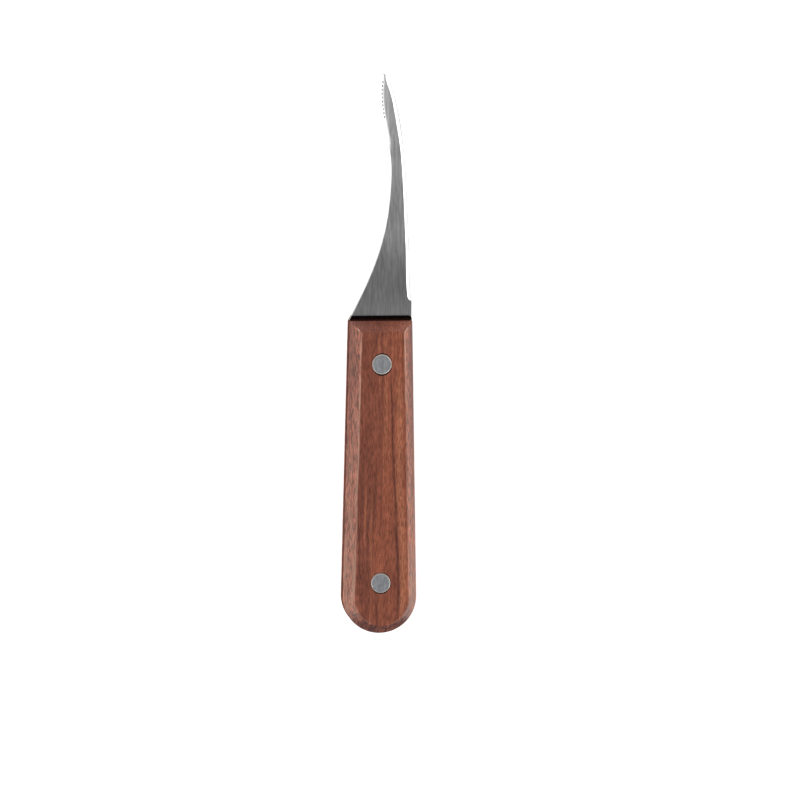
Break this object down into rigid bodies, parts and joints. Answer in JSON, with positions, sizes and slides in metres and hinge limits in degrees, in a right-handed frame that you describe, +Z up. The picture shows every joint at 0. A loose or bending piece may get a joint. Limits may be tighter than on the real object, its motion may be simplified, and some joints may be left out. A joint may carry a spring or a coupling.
{
  "type": "curved carving knife",
  "caption": "Small fixed-blade knife with a slim curved blade, toothed near the tip, on a full tang riveted between chamfered wooden scales with black liners.",
  "frame": {"origin": "middle of the footprint, on the surface that the knife lies on, under the flat of the lower scale", "axes": "+Y along the knife to the blade's tip, +X to the cutting edge, +Z up through the handle's thickness"},
  "size_m": [0.0224, 0.17, 0.016],
  "materials": {
    "blade_steel": "fine brushing along the length, with brightly ground edge bands",
    "red_wood": "satin, red-brown straight grain with darker streaks",
    "black_liner": "matte black sheet",
    "rivet_steel": "brushed flat heads with a polished rim"
  },
  "bodies": {
    "root": {"blade": "blade_steel", "scale_upper": "red_wood", "scale_lower": "red_wood", "liner_upper": "black_liner", "liner_lower": "black_liner", "front_rivet_male": "rivet_steel", "front_rivet_female": "rivet_steel", "rear_rivet_male": "rivet_steel", "rear_rivet_female": "rivet_steel"}
  },
  "joints": []
}
